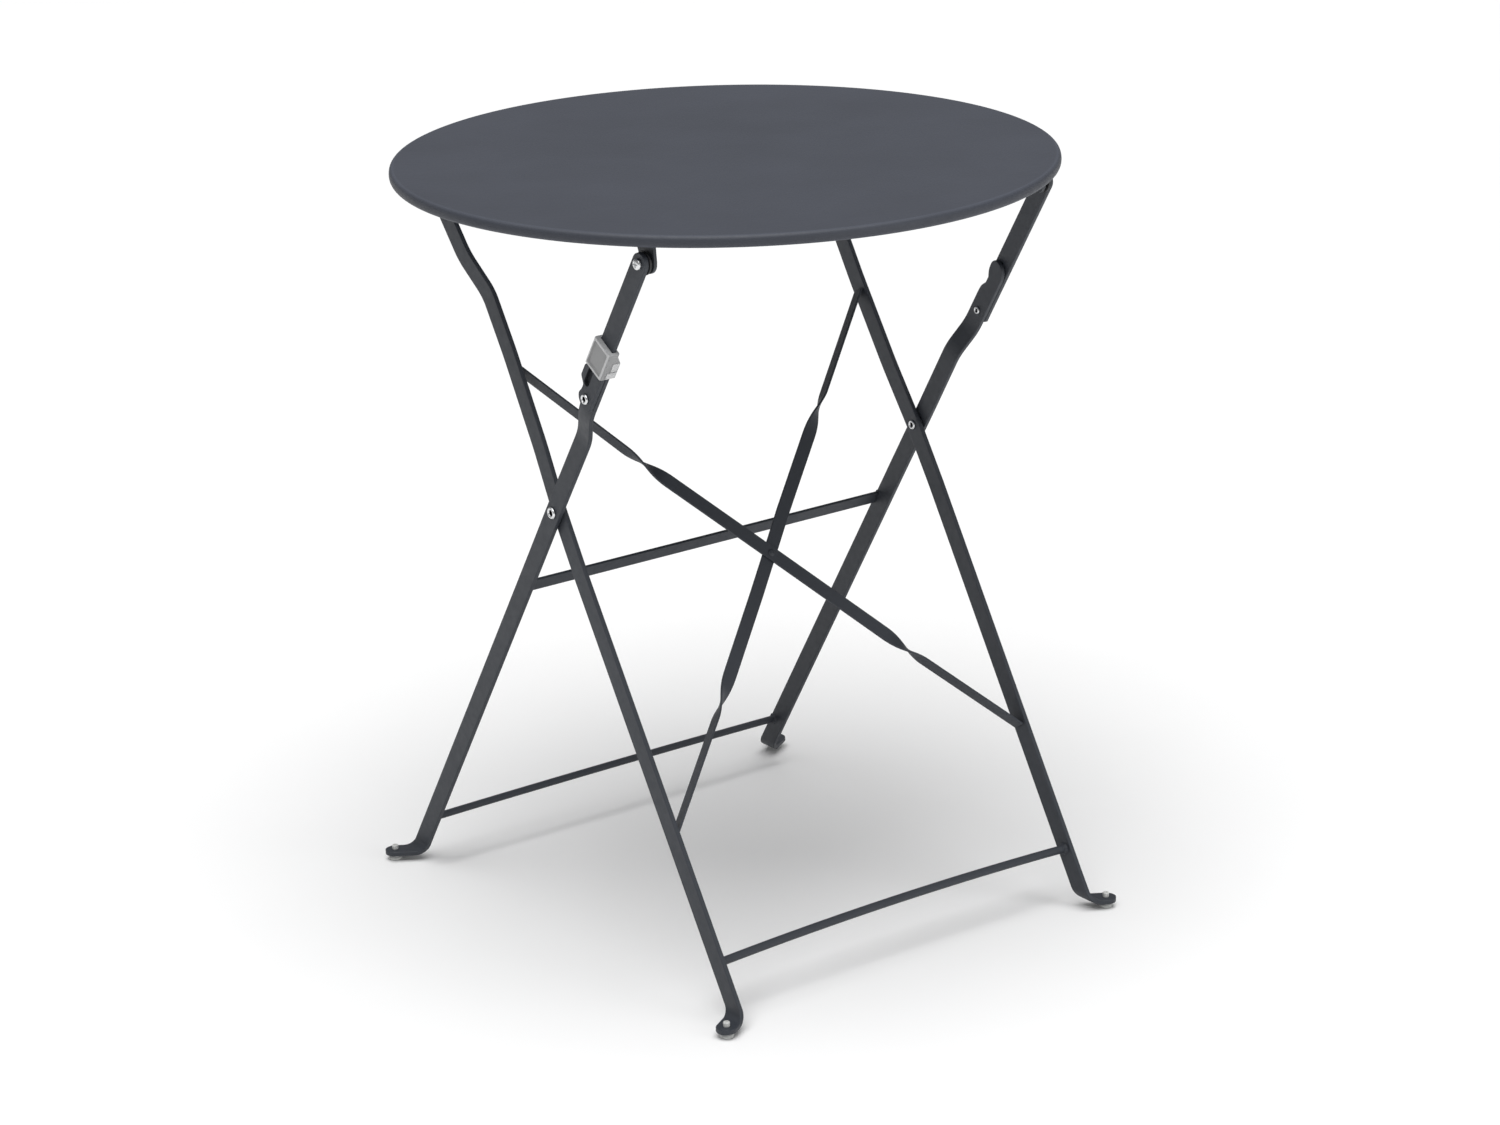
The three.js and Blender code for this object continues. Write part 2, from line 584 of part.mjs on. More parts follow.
for (const [name, side] of [['left', -1], ['right', 1]]) {
  const inner = innerLeg(side);
  const outer = outerLeg(side);
  add(`inner_leg_${name}`, inner.solid, POWDER);
  add(`outer_leg_${name}`, outer.solid, POWDER);
  add(`inner_glide_${name}`, glide(inner.glide), WHITE_NYLON);
  add(`outer_glide_${name}`, glide(outer.glide), WHITE_NYLON);
  add(`link_${name}`, link(side, side < 0), POWDER);
  add(`support_rail_${name}`, rail(side), POWDER);

  // crossing: one rivet through both legs, with a washer between them
  const innerFace = INNER_CROSS_X - BAR_HALF;
  add(`crossing_rivet_${name}`, hollowRivet(side, innerFace - GAP, OUTER_X + BAR_HALF + GAP, 5.5, 2.9,
    CROSSING.y, CROSSING.z, 4.4), ZINC);
  add(`crossing_washer_${name}`, ringX(side, INNER_CROSS_X + BAR_HALF + GAP, OUTER_X - BAR_HALF - GAP,
    8.5, 3.2, CROSSING.y, CROSSING.z), DARK_ZINC);

  // knee: the link turns outside the head of the outer leg
  add(`knee_rivet_${name}`, hollowRivet(side, HEAD_X - BAR_HALF - GAP, LINK_X + BAR_HALF + GAP, 4.8, 2.9,
    KNEE.y, KNEE.z, 3.5), ZINC);

  // front pivot: bolt through the link, a spacer, a wide washer and the tab, with a nut inside
  const tabInner = TAB_X - TAB_THICK / 2;
  const tabOuter = TAB_X + TAB_THICK / 2;
  const linkInner = LINK_X - BAR_HALF;
  add(`link_bolt_${name}`, panBolt(side, tabInner - 5.2, LINK_X + BAR_HALF + GAP,
    FRONT_PIVOT.y, FRONT_PIVOT.z), ZINC);
  add(`link_nut_${name}`, hexNut(side, tabInner - 4.2, tabInner - GAP, FRONT_PIVOT.y, FRONT_PIVOT.z), ZINC);
  add(`link_spacer_${name}`, ringX(side, tabOuter + GAP, tabOuter + 2.6, 7, 2.9,
    FRONT_PIVOT.y, FRONT_PIVOT.z), DARK_ZINC);
  add(`link_washer_${name}`, ringX(side, tabOuter + 2.9, linkInner - GAP, 10.5, 2.9,
    FRONT_PIVOT.y, FRONT_PIVOT.z), BLACK_NYLON);

  // rear pivot, where the linkage is opened: half a pin on the leg and half on the lug
  const legOuter = INNER_TOP_X + BAR_HALF;
  const stub = [[0, -2], [3.6, -1.8], [4.8, -GAP], [2.9, -GAP], [2.9, BAR_THICK], [0, BAR_THICK]];
  add(`rear_pivot_stub_${name}`, turnedX(stub, side * (INNER_TOP_X - BAR_HALF), REAR_PIVOT.y, REAR_PIVOT.z, side),
    ZINC);
  const lugInner = LUG_X - TAB_THICK / 2;
  const cap = [[0, 0], [2.9, 0], [2.9, TAB_THICK + GAP], [4.8, TAB_THICK + GAP], [3.6, TAB_THICK + 1.7],
    [0, TAB_THICK + 1.9]];
  add(`rear_pivot_cap_${name}`, turnedX(cap, side * Math.max(lugInner, legOuter + GAP), REAR_PIVOT.y,
    REAR_PIVOT.z, side), ZINC);

  add(`brace_${name}`, cut(brace(side), braceBore()), POWDER);
}

add('brace_rivet', braceRivet(), POWDER);
add('inner_stretcher', rodStretcher(INNER, INNER_FOOT_X - BAR_HALF - GAP, 3.8, -422.5, 0, 4), POWDER);
add('outer_stretcher_upper', flatStretcher(), POWDER);
add('outer_stretcher_lower', rodStretcher(OUTER, OUTER_FOOT_X - BAR_HALF - GAP - 0.1, 3.5, -439, 4.8, 2), POWDER);
add('safety_lock', safetyLock(), GREY_PLASTIC);

export default group;
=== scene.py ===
import json
import math

import bmesh
import bpy
from mathutils import Matrix, Vector


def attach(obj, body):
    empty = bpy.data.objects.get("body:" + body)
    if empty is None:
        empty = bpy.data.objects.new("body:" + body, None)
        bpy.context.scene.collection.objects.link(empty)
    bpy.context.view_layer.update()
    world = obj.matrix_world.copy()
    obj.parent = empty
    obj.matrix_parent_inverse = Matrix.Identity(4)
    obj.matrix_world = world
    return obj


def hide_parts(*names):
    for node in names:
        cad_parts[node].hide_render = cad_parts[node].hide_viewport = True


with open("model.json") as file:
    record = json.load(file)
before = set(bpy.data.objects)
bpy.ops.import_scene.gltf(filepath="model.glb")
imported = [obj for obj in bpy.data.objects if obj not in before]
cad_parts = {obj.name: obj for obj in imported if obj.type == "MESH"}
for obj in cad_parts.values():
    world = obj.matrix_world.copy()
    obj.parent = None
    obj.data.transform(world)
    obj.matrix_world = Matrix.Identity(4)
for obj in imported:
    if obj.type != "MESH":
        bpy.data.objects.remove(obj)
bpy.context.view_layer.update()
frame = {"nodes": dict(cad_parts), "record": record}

nodes = frame["nodes"]
scene = bpy.context.scene


# ---- materials ----
class Graph:
    """A Principled material whose other nodes are added by name."""

    def __init__(self, name, colour, roughness, metallic=0.0):
        self.material = bpy.data.materials.new(name)
        self.material.use_nodes = True
        self.tree = self.material.node_tree
        self.shader = self.tree.nodes["Principled BSDF"]
        self.shader.inputs["Base Color"].default_value = (*colour, 1)
        self.shader.inputs["Roughness"].default_value = roughness
        self.shader.inputs["Metallic"].default_value = metallic
        self.place = self.node("ShaderNodeTexCoord").outputs["Object"]

    def node(self, kind, **settings):
        made = self.tree.nodes.new(kind)
        for key, value in settings.items():
            setattr(made, key, value)
        return made

    def link(self, source, target):
        self.tree.links.new(source, target)

    def noise(self, scale, detail=2.0, roughness=0.5, stretch=(1, 1, 1)):
        spread = self.node("ShaderNodeMapping")
        spread.inputs["Scale"].default_value = stretch
        self.link(self.place, spread.inputs["Vector"])
        noise = self.node("ShaderNodeTexNoise")
        noise.inputs["Scale"].default_value = scale
        noise.inputs["Detail"].default_value = detail
        noise.inputs["Roughness"].default_value = roughness
        self.link(spread.outputs["Vector"], noise.inputs["Vector"])
        return noise.outputs["Fac"]

    def spread(self, value, low, high, start=0.3, end=0.7):
        remap = self.node("ShaderNodeMapRange")
        remap.inputs["From Min"].default_value = start
        remap.inputs["From Max"].default_value = end
        remap.inputs["To Min"].default_value = low
        remap.inputs["To Max"].default_value = high
        self.link(value, remap.inputs["Value"])
        return remap.outputs["Result"]

    def tints(self, value, low, high, start=0.3, end=0.7):
        ramp = self.node("ShaderNodeValToRGB")
        ramp.color_ramp.elements[0].position = start
        ramp.color_ramp.elements[0].color = (*low, 1)
        ramp.color_ramp.elements[1].position = end
        ramp.color_ramp.elements[1].color = (*high, 1)
        self.link(value, ramp.inputs["Fac"])
        return ramp.outputs["Color"]

    def bump(self, *layers):
        """Layers of (height, distance in metres, strength), coarse to fine."""
        normal = None
        for height, distance, strength in layers:
            bump = self.node("ShaderNodeBump")
            bump.inputs["Distance"].default_value = distance
            bump.inputs["Strength"].default_value = strength
            self.link(height, bump.inputs["Height"])
            if normal:
                self.link(normal, bump.inputs["Normal"])
            normal = bump.outputs["Normal"]
        self.link(normal, self.shader.inputs["Normal"])


def shade(colour, factor):
    return tuple(c * factor for c in colour)


def powder_coat(name, colour, roughness, grain=1.0, rim=False):
    """Matt powder coat: a fine sandy grain, slow orange peel, and slight clouding of tone and gloss.

    With rim, the round top gets a painted highlight on the shoulder of its edge and painted shade on the
    rolled rim below it.
    """
    g = Graph(name, colour, roughness)
    g.shader.inputs["Specular IOR Level"].default_value = 0.42
    cloud = g.noise(9.0, 4.0, 0.55)
    speck = g.noise(1500.0, 2.0, 0.6)
    mix = g.node("ShaderNodeMix", data_type="RGBA", blend_type="OVERLAY")
    mix.inputs["Factor"].default_value = 0.16
    g.link(g.tints(cloud, shade(colour, 0.93), shade(colour, 1.07)), mix.inputs[6])
    g.link(g.tints(speck, (0.32, 0.32, 0.33), (0.68, 0.68, 0.67), 0.25, 0.75), mix.inputs[7])
    tone = mix.outputs[2]
    # painted light: a ramp over the radius multiplies the top's colour, 0.72 on the flat, rising to 0.9 as a
    # painted highlight on the edge's shoulder, falling to 0.5 as painted shade on the rolled rim
    if rim:
        radius = g.node("ShaderNodeVectorMath", operation="LENGTH")
        flat = g.node("ShaderNodeVectorMath", operation="MULTIPLY")
        flat.inputs[1].default_value = (1, 1, 0)
        g.link(g.place, flat.inputs[0])
        g.link(flat.outputs["Vector"], radius.inputs[0])
        ring = g.node("ShaderNodeValToRGB")
        reach = g.spread(radius.outputs["Value"], 0.0, 1.0, 0.290, 0.300)
        g.link(reach, ring.inputs["Fac"])
        stops = ring.color_ramp.elements
        stops[0].position, stops[0].color = 0.5, (0.72, 0.72, 0.72, 1)
        stops[1].position, stops[1].color = 0.99, (0.5, 0.5, 0.5, 1)
        for position, level in ((0.66, 0.9), (0.8, 0.72)):
            stops.new(position).color = (level, level, level, 1)
        rim_light_tint = g.node("ShaderNodeMix", data_type="RGBA", blend_type="MULTIPLY")
        rim_light_tint.inputs["Factor"].default_value = 1.0
        g.link(tone, rim_light_tint.inputs[6])
        g.link(ring.outputs["Color"], rim_light_tint.inputs[7])
        tone = rim_light_tint.outputs[2]
    g.link(tone, g.shader.inputs["Base Color"])
    g.link(g.spread(g.noise(160.0, 3.0), roughness - 0.05, roughness + 0.05), g.shader.inputs["Roughness"])
    g.bump((g.noise(260.0, 1.0), 0.00012, 0.10 * grain), (g.noise(1900.0, 2.0, 0.6), 0.00005, 0.30 * grain))
    return g.material


def zinc_plate(name, colour, roughness):
    """Bright plate with a cloudy passivation and faint tumbling scratches."""
    g = Graph(name, colour, roughness, 1.0)
    g.link(g.tints(g.noise(420.0, 3.0), shade(colour, 0.8), colour), g.shader.inputs["Base Color"])
    g.link(g.spread(g.noise(900.0, 3.0), roughness - 0.08, roughness + 0.14), g.shader.inputs["Roughness"])
    g.bump((g.noise(2600.0, 2.0, 0.6, (1, 0.25, 1)), 0.00003, 0.25))
    return g.material


def moulded(name, colour, roughness, clear, grain=0.2):
    """Moulded plastic, from opaque (clear 0) to translucent."""
    g = Graph(name, colour, roughness)
    g.shader.inputs["IOR"].default_value = 1.49
    g.shader.inputs["Transmission Weight"].default_value = clear
    g.link(g.tints(g.noise(120.0, 2.0), shade(colour, 0.92), colour), g.shader.inputs["Base Color"])
    g.link(g.spread(g.noise(500.0, 2.0), roughness - 0.04, roughness + 0.06), g.shader.inputs["Roughness"])
    g.bump((g.noise(1400.0, 2.0), 0.00004, grain))
    return g.material


TOP_COLOUR = (0.055, 0.061, 0.079)
FRAME_COLOUR = (0.031, 0.0355, 0.0445)
SLOT_MATERIALS = {
    # the top's colour is raised by 1/0.72 to undo the painted rim ramp's 0.72 over the flat top
    "top_coating": powder_coat("powder_top", shade(TOP_COLOUR, 1 / 0.72), 0.56, rim=True),
    "frame_coating": powder_coat("powder_frame", FRAME_COLOUR, 0.52),
    "bright_zinc": zinc_plate("zinc_bright", (0.82, 0.83, 0.84), 0.24),
    "dull_zinc": zinc_plate("zinc_dull", (0.30, 0.31, 0.32), 0.42),
    "lock_plastic": moulded("plastic_lock", (0.60, 0.605, 0.61), 0.3, 0.12),
    "glide_nylon": moulded("nylon_glide", (0.74, 0.75, 0.73), 0.38, 0.25),
    "black_nylon": moulded("nylon_black", (0.018, 0.018, 0.02), 0.5, 0.0),
}
# painted shade: a darker copy of the frame coat for the inside of the link's lobe recess, standing in for the
# shade there
RECESS_PAINTED_SHADE = powder_coat("powder_recess_painted_shade", shade(FRAME_COLOUR, 0.55), 0.7)
# painted shade: near-black zinc for the inside of the hollow rivets' bores
RIVET_BORE_PAINTED_SHADE = zinc_plate("zinc_bore_painted_shade", (0.05, 0.05, 0.055), 0.5)
LOCK_PANEL = moulded("plastic_lock_panel", (0.30, 0.302, 0.305), 0.42, 0.0)
LOCK_LATCH = moulded("plastic_lock_latch", (0.66, 0.665, 0.67), 0.2, 0.15)
# painted shade: a darker copy of the lock plastic for the sleeve's side that faces away from the light
LOCK_SHADED_SIDE = moulded("plastic_lock_painted_shade_side", (0.33, 0.333, 0.337), 0.3, 0.1)
NODE_SLOT = {s["node"]: s["material_slot"] for s in frame["record"]["subparts"]}
for name, node in nodes.items():
    node.data.materials.clear()
    node.data.materials.append(SLOT_MATERIALS[NODE_SLOT[name]])


# ---- dimensions, in millimetres, as in the CAD source ----
TOP_RADIUS = 300.0
TOP_HEIGHT = 702.0
SHEET = 1.5
BAR_WIDTH = 19.0
BAR_THICK = 4.4
BAR_EDGE = 0.8
GAP = 0.3
KNEE_ALONG = 148.0
OUTER_X, OUTER_FOOT_X, HEAD_X, LINK_X = 207.6, 209.0, 216.2, 221.0
INNER_FOOT_X, INNER_CROSS_X, INNER_WAIST_X, INNER_TOP_X = 200.4, 202.0, 196.6, 213.2
FOOT_BEND, FOOT_LEVEL = 10.2, 8.0
INNER_GLIDE_X, OUTER_GLIDE_X = 219.0, 230.5
CLIP_START, CLIP_LENGTH = 183.4, 30.0
HEAD_TOP = 206.0
TAB_X, TAB_THICK = 212.5, 3.0
BRACE_WIDTH, BRACE_THICK = 13.0, 2.0
BRACE_TOP, BRACE_FOOT = 137.0, -300.0
BRACE_TOP_X, BRACE_FOOT_X = 193.5, 197.9
TWIST_AT, TWIST_HALF = 142.0, 25.0
INNER_ROD_ALONG, INNER_ROD_RADIUS = -422.5, 3.8
OUTER_ROD_ALONG, OUTER_ROD_ACROSS, OUTER_ROD_RADIUS = -439.0, 4.8, 3.5
CROSS_BAR_ALONG, CROSS_BAR_ACROSS = -109.5, 7.6
PIN_RADIUS = 2.9
CROSSING = Vector((0, -15, 413))
FRONT_PIVOT = Vector((0, -180, 674))
REAR_PIVOT = Vector((0, 150, 684))


class LegLine:
    """Directions of one leg frame: up runs along its bars and across is square to them, towards +Y."""

    def __init__(self, tilt, lean):
        self.tilt, self.lean = math.radians(tilt), lean
        self.up = Vector((0, lean * math.sin(self.tilt), math.cos(self.tilt)))
        self.across = Vector((0, math.cos(self.tilt), -lean * math.sin(self.tilt)))

    def at(self, x, along, across=0.0):
        return Vector((x, CROSSING.y, CROSSING.z)) + self.up * along + self.across * across


INNER = LegLine(31.35, 1)
OUTER = LegLine(32.3, -1)
FRONT_ALONG = OUTER.up.dot(FRONT_PIVOT - CROSSING)
REAR_ALONG = INNER.up.dot(REAR_PIVOT - CROSSING)
KNEE = OUTER.at(0, KNEE_ALONG)


# ---- mesh helpers ----
def clamp(value, low, high):
    return max(low, min(high, value))


def smoothstep(value, low, high):
    t = clamp((value - low) / (high - low), 0.0, 1.0)
    return t * t * (3 - 2 * t)


def settle(bm, crease=32.0):
    """Faces outward, smooth shading, and edges left sharp where faces meet at more than crease degrees."""
    bmesh.ops.recalc_face_normals(bm, faces=bm.faces)
    for face in bm.faces:
        face.smooth = True
    for edge in bm.edges:
        edge.smooth = not edge.is_manifold or edge.calc_face_angle() < math.radians(crease)


def piece(name, bm, material, crease=32.0):
    """The bmesh, built in millimetres, becomes an object in metres with face-weighted normals."""
    settle(bm, crease)
    bmesh.ops.scale(bm, vec=(0.001, 0.001, 0.001), verts=bm.verts)
    mesh = bpy.data.meshes.new(name)
    bm.to_mesh(mesh)
    bm.free()
    mesh.materials.append(material)
    made = bpy.data.objects.new(name, mesh)
    scene.collection.objects.link(made)
    weighted = made.modifiers.new("weighted", "WEIGHTED_NORMAL")
    weighted.keep_sharp = True
    return made


def skin(rings, closed_ends=True):
    """Faces between one ring of points and the next, and over both ends."""
    bm = bmesh.new()
    rows = [[bm.verts.new(p) for p in ring] for ring in rings]
    n = len(rows[0])
    for low, high in zip(rows, rows[1:]):
        for i in range(n):
            bm.faces.new((low[i], low[(i + 1) % n], high[(i + 1) % n], high[i]))
    if closed_ends:
        bm.faces.new(rows[0])
        bm.faces.new(rows[-1])
    return bm


def bar_ring(centre, side, face, plus, minus, half, edge):
    """One ring of a flat bar with rolled edges: plus and minus are how far it reaches along side each way."""
    edge = min(edge, half * 0.9, 0.49 * max(plus + minus, 0.02))
    corners = ((plus - edge, half - edge, 0), (-minus + edge, half - edge, 1),
               (-minus + edge, -half + edge, 2), (plus - edge, -half + edge, 3))
    ring = []
    for s, f, quarter in corners:
        for k in range(4):
            a = (quarter + k / 3) * math.pi / 2
            ring.append(centre + side * (s + edge * math.cos(a)) + face * (f + edge * math.sin(a)))
    return ring


def rod(centres, radius, normal, segments=28):
    """A round bar along a line of centres; normal is square to the whole line."""
    rings = []
    for i, centre in enumerate(centres):
        along = (centres[min(i + 1, len(centres) - 1)] - centres[max(i - 1, 0)]).normalized()
        u = normal.cross(along).normalized()
        w = along.cross(u)
        rings.append([centre + u * radius * math.cos(a) + w * radius * math.sin(a)
                      for a in (2 * math.pi * k / segments for k in range(segments))])
    return skin(rings)


def turned(profile, origin, axis, segments=48):
    """A lathe: [radius, height] from axis to axis, about `axis` through `origin`."""
    axis = Vector(axis).normalized()
    u = axis.orthogonal().normalized()
    w = axis.cross(u)
    bm = bmesh.new()
    rows = []
    for r, h in profile:
        centre = Vector(origin) + axis * h
        if r < 1e-6:
            rows.append([bm.verts.new(centre)])
        else:
            rows.append([bm.verts.new(centre + u * r * math.cos(a) + w * r * math.sin(a))
                         for a in (2 * math.pi * k / segments for k in range(segments))])
    for low, high in zip(rows, rows[1:]):
        for i in range(segments):
            j = (i + 1) % segments
            corners = [low[i % len(low)], low[j % len(low)], high[j % len(high)], high[i % len(high)]]
            unique = list(dict.fromkeys(corners))
            if len(unique) > 2:
                bm.faces.new(unique)
    return bm


def rounded(profile, radius=0.35, steps=3):
    """Eases the corners of a lathe profile, apart from its two ends."""
    points = [Vector(p) for p in profile]
    eased = [profile[0]]
    for before, p, after in zip(points, points[1:], points[2:]):
        a, b = before - p, after - p
        reach = min(radius, a.length * 0.45, b.length * 0.45)
        if reach < 1e-4 or a.angle(b) > math.radians(172):
            eased.append(tuple(p))
            continue
        start, end = p + a.normalized() * reach, p + b.normalized() * reach
        for k in range(steps + 1):
            t = k / steps
            eased.append(tuple(start * (1 - t) ** 2 + p * (2 * t * (1 - t)) + end * t * t))
    return eased + [profile[-1]]


def bored(made, *drills):
    """Cuts holes: each drill is (radius, start, end)."""
    cutters = []
    for radius, start, end in drills:
        start, end = Vector(start), Vector(end)
        axis = end - start
        bm = turned([(0, 0), (radius, 0), (radius, axis.length), (0, axis.length)], start, axis, 40)
        cutters.append(piece("drill", bm, made.data.materials[0]))
    carved(made, *cutters)


def carved(made, *cutters, operation="DIFFERENCE"):
    """Takes the cutters' shape out of a piece, or adds it, then removes them."""
    made.modifiers.remove(made.modifiers["weighted"])
    for cutter in cutters:
        cut = made.modifiers.new("cut", "BOOLEAN")
        cut.operation = operation
        cut.solver = "EXACT"
        cut.material_mode = "TRANSFER"
        cut.object = cutter
    shape = bpy.data.meshes.new_from_object(made.evaluated_get(bpy.context.evaluated_depsgraph_get()))
    made.modifiers.clear()
    old, made.data = made.data, shape
    bpy.data.meshes.remove(old)
    shape.name = made.name
    for cutter in cutters:
        bpy.data.meshes.remove(cutter.data)
    bm = bmesh.new()
    bm.from_mesh(shape)
    bmesh.ops.remove_doubles(bm, verts=bm.verts, dist=1e-6)
    settle(bm)
    bm.to_mesh(shape)
    bm.free()
    weighted = made.modifiers.new("weighted", "WEIGHTED_NORMAL")
    weighted.keep_sharp = True


NODE_BODY = {n: b for b, members in frame["record"]["behaviour"]["bodies"].items() for n in members}


def stands_for(made, *names):
    """A finer piece takes the place of its CAD nodes, on their body."""
    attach(made, NODE_BODY[names[0]])
    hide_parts(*names)


def extra(made, body):
    """A piece with no CAD node of its own rides a body."""
    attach(made, body)


# ---- table top ----
def table_top():
    h, r = TOP_HEIGHT, TOP_RADIUS
    roll = [(r - 5, h), (r - 3.2, h - 0.25), (r - 1.8, h - 0.95), (r - 0.8, h - 2.1), (r - 0.25, h - 3.6),
            (r, h - 5.6), (r - 0.1, h - 7.4), (r - 0.8, h - 9.2), (r - 2.1, h - 10.5), (r - 3.9, h - 11),
            (r - 5.7, h - 10.5), (r - 6.9, h - 9.2), (r - 7.3, h - 7.4), (r - 7.3, h - 5), (r - 7.9, h - 3),
            (r - 9.5, h - 1.9), (r - 12, h - SHEET)]
    profile = [(0, h), (r * 0.3, h), (r * 0.6, h), (r * 0.85, h), (r - 20, h), *rounded(roll, 0.9, 2),
               (r - 20, h - SHEET), (r * 0.85, h - SHEET), (r * 0.5, h - SHEET), (0, h - SHEET)]
    made = piece("top_sheet", turned(profile, (0, 0, 0), (0, 0, 1), 240), SLOT_MATERIALS["top_coating"], 60)
    stands_for(made, "table_top")


# ---- legs ----
def eased_path(corners, radius=9.0, steps=8):
    """The bends of a bar: [along, x] corners with a curve at each one."""
    path = [corners[0]]
    for before, corner, after in zip(corners, corners[1:], corners[2:]):
        p = Vector(corner)
        a, b = Vector(before) - p, Vector(after) - p
        if abs(a.x * b.y - a.y * b.x) < 0.02 * a.length * b.length:
            path.append(corner)
            continue
        reach = min(radius, a.length / 2.1, b.length / 2.1)
        start, end = p + a.normalized() * reach, p + b.normalized() * reach
        for k in range(steps + 1):
            t = k / steps
            path.append(tuple(start * (1 - t) ** 2 + p * (2 * t * (1 - t)) + end * t * t))
    return path + [corners[-1]]


def round_end(distance):
    """The share of the bar's width left at this distance from the centre of its round end."""
    d = clamp(distance / (BAR_WIDTH / 2), -0.998, 1)
    return 1.0 if d >= 0 else math.sqrt(1 - d * d)


END_STEPS = (0.998, 0.99, 0.975, 0.95, 0.91, 0.86, 0.8, 0.72, 0.63, 0.53, 0.42, 0.3, 0.16, 0.0)


def end_run(centre, direction):
    """Places along a round end, closer together towards its tip."""
    return [centre + direction * f * BAR_WIDTH / 2 for f in END_STEPS]


def leg(name, line, side, corners, glide_x, trim):
    """A bent flat bar, turned level in a curve at the floor, with a round-ended tab over its glide."""
    path = eased_path(corners)
    half, thick = BAR_WIDTH / 2, BAR_THICK / 2
    rings = []
    for i, (along, x) in enumerate(path):
        a, b = path[max(i - 1, 0)], path[min(i + 1, len(path) - 1)]
        run = (line.up * (a[0] - b[0]) + Vector((side * (a[1] - b[1]), 0, 0))).normalized()
        face = run.cross(line.across).normalized() * -side
        plus, minus = trim(along)
        rings.append(bar_ring(line.at(side * x, along), line.across, face, plus * half, minus * half, thick,
                              BAR_EDGE))
    foot_x = corners[-1][1]
    slope = math.tan(line.tilt) * -line.lean
    start_y = CROSSING.y + slope * (CROSSING.z - FOOT_LEVEL - FOOT_BEND)
    reach = half / math.cos(line.tilt)
    for k in range(19):
        a = k / 18 * math.pi / 2
        centre = Vector((side * (foot_x + FOOT_BEND * (1 - math.cos(a))), start_y + slope * FOOT_BEND * a,
                         FOOT_LEVEL + FOOT_BEND - FOOT_BEND * math.sin(a)))
        face = Vector((side * math.cos(a), 0, math.sin(a)))
        rings.append(bar_ring(centre, Vector((0, 1, 0)), face, reach, reach, thick, BAR_EDGE))
    tab = Vector((side * math.cos(line.tilt), -line.lean * math.sin(line.tilt), 0))
    tab_side = Vector((side * line.lean * math.sin(line.tilt), math.cos(line.tilt), 0))
    bend_y = start_y + slope * FOOT_BEND * math.pi / 2
    run = (glide_x - foot_x - FOOT_BEND) / math.cos(line.tilt)
    foot = Vector((side * (foot_x + FOOT_BEND), bend_y, FOOT_LEVEL)) + tab * run
    for k in range(15):
        a = k / 14 * 1.51
        width = half * math.cos(a)
        centre = foot + tab * half * math.sin(a)
        rings.append(bar_ring(centre, tab_side, Vector((0, 0, 1)), width, width, thick, BAR_EDGE))
    return piece(name, skin(rings), SLOT_MATERIALS["frame_coating"]), foot


def head_trim(along):
    """How much of the bar's half width is left on each edge of an outer leg's notched head."""
    notch = math.exp(-(((along - 182) / 7.5) ** 2)) * 0.5
    top, long_top = along - (HEAD_TOP - 7), along - (HEAD_TOP - 14)
    corner = 1 - math.sqrt(max(0, 1 - (top / 7) ** 2)) if top > 0 else 0
    long_corner = 1 - math.sqrt(max(0, 1 - (long_top / 14) ** 2)) if long_top > 0 else 0
    return 1 - notch - 0.65 * corner, 1 - 1.1 * long_corner


def across_x(side, x0, x1, pivot, radius=3.2):
    """A drill for a pivot's hole."""
    return radius, (side * x0, pivot.y, pivot.z), (side * x1, pivot.y, pivot.z)


def legs(label, side):
    head = [(along, INNER_TOP_X) for along in end_run(REAR_ALONG, 1)]
    corners = head + [(REAR_ALONG - 16, INNER_TOP_X), (245, 208.2), (207, INNER_WAIST_X + 0.3),
                      (150, INNER_WAIST_X), (62, 198.6), (0, INNER_CROSS_X), (-60, INNER_CROSS_X + 0.8),
                      (-448, INNER_FOOT_X)]
    inner, inner_foot = leg(f"inner_bar_{label}", INNER, side, corners, INNER_GLIDE_X,
                            lambda along: (round_end(REAR_ALONG - along),) * 2)
    bored(inner, across_x(side, 190, 215, CROSSING), across_x(side, 200, 225, REAR_PIVOT),
          (3, (inner_foot.x, inner_foot.y, 0), (inner_foot.x, inner_foot.y, 30)))
    stands_for(inner, f"inner_leg_{label}")

    head, along = [], HEAD_TOP
    while along > 160:
        head.append((along, HEAD_X))
        along -= 0.25 if along > 204 else 0.8 if along > 190 else 1.5
    corners = head + [(128, HEAD_X), (98, OUTER_X - 0.8), (20, OUTER_X), (-60, OUTER_X), (-455, OUTER_FOOT_X)]
    outer, outer_foot = leg(f"outer_bar_{label}", OUTER, side, corners, OUTER_GLIDE_X, head_trim)
    bored(outer, across_x(side, 200, 222, CROSSING), across_x(side, 208, 226, KNEE),
          (3, (outer_foot.x, outer_foot.y, 0), (outer_foot.x, outer_foot.y, 30)))
    stands_for(outer, f"outer_leg_{label}")
    for kind, foot in (("inner", inner_foot), ("outer", outer_foot)):
        profile = [(0, 0), (4.4, 0), (5.9, 0.7), (6.3, 1.9), (5.9, 3.1), (5.2, 3.9), (4.9, 5.5), (2.7, 5.5),
                   (2.7, 10.5), (3, 10.7), (3, 14), (2.5, 14.7), (1.2, 14.7), (0.9, 13.6), (0, 13.6)]
        made = piece(f"{kind}_glide_plug_{label}", turned(rounded(profile), (foot.x, foot.y, 0), (0, 0, 1)),
                     SLOT_MATERIALS["glide_nylon"])
        stands_for(made, f"{kind}_glide_{label}")


